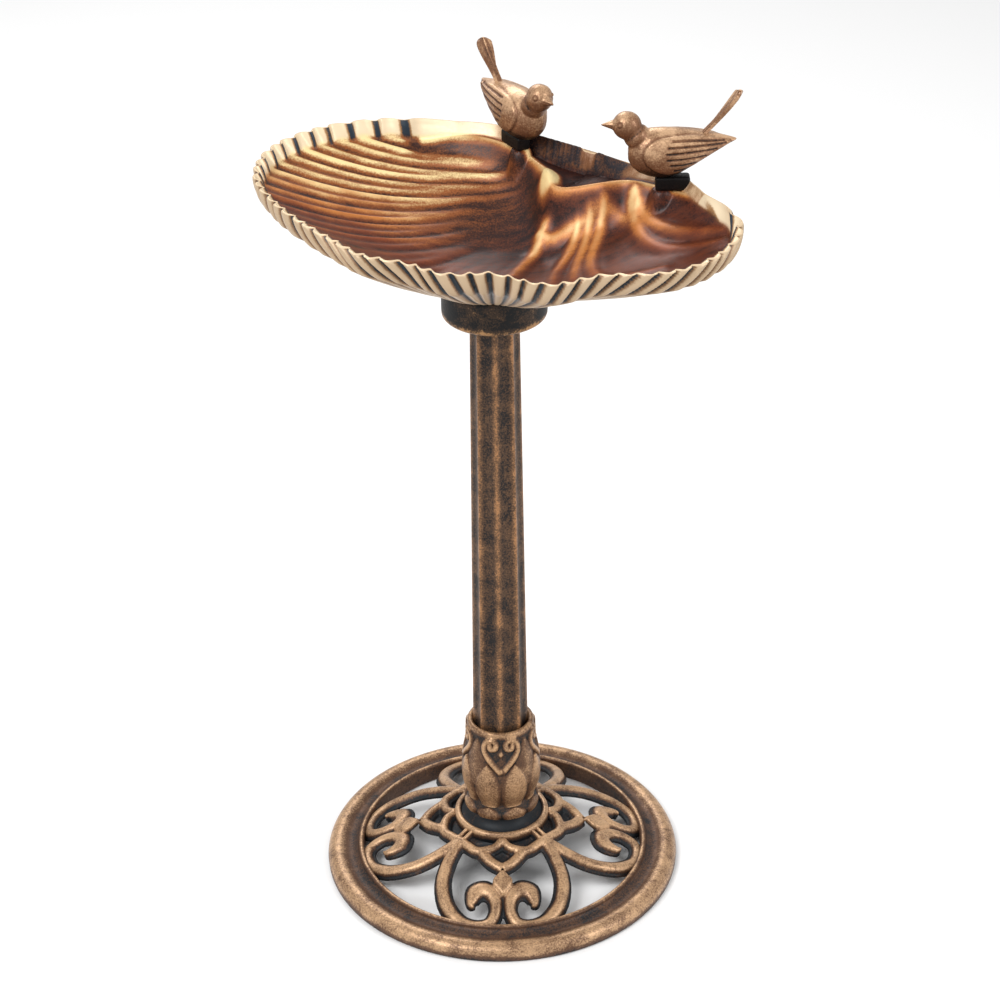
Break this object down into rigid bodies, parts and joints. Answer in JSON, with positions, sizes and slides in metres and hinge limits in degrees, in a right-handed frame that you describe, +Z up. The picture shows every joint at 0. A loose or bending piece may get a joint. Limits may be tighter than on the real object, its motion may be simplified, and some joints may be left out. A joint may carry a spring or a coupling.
{
  "type": "bird bath",
  "caption": "Free-standing bird bath: scallop-shell bowl with two birds on an octagonal column, lotus socket and pierced round scroll base.",
  "frame": {"origin": "on the ground, on the column's axis, at the middle of the base ring's foot", "axes": "+Z up along the column, -Y to the front, where an arris of the column and one scroll motif of the base face, +X to the bird bath's right as seen from the front"},
  "size_m": [0.423, 0.3498, 0.7713],
  "materials": {
    "bronze": "moulded, painted antique bronze with rubbed highlights",
    "dark_bronze": "moulded, dark speckled bronze paint",
    "shell_bronze": "moulded, glossy red-brown and gold bronze paint",
    "bird_bronze": "moulded, satin light bronze paint",
    "rubber": "matt black",
    "steel": "zinc plated"
  },
  "bodies": {
    "stand": {"base": "bronze", "lotus_socket": "bronze", "column": "dark_bronze", "column_collar": "dark_bronze", "tie_rod": "steel", "rod_washers": "steel", "rod_nuts": "steel"},
    "seat": {"seat_ring": "rubber"},
    "shell": {"bowl": "shell_bronze", "left_bird": "bird_bronze", "left_bird_tail": "bird_bronze", "right_bird": "bird_bronze", "right_bird_tail": "bird_bronze", "bird_screws": "steel"}
  },
  "joints": [
    {"name": "bowl_turn", "type": "hinge", "parent": "stand", "child": "seat", "pos_m": [0, 0, 0.609], "axis": [0, 0, 1], "continuous": true},
    {"name": "bowl_lift", "type": "slide", "parent": "seat", "child": "shell", "axis": [0, 0, 1], "range_m": [0, 0.06]}
  ]
}
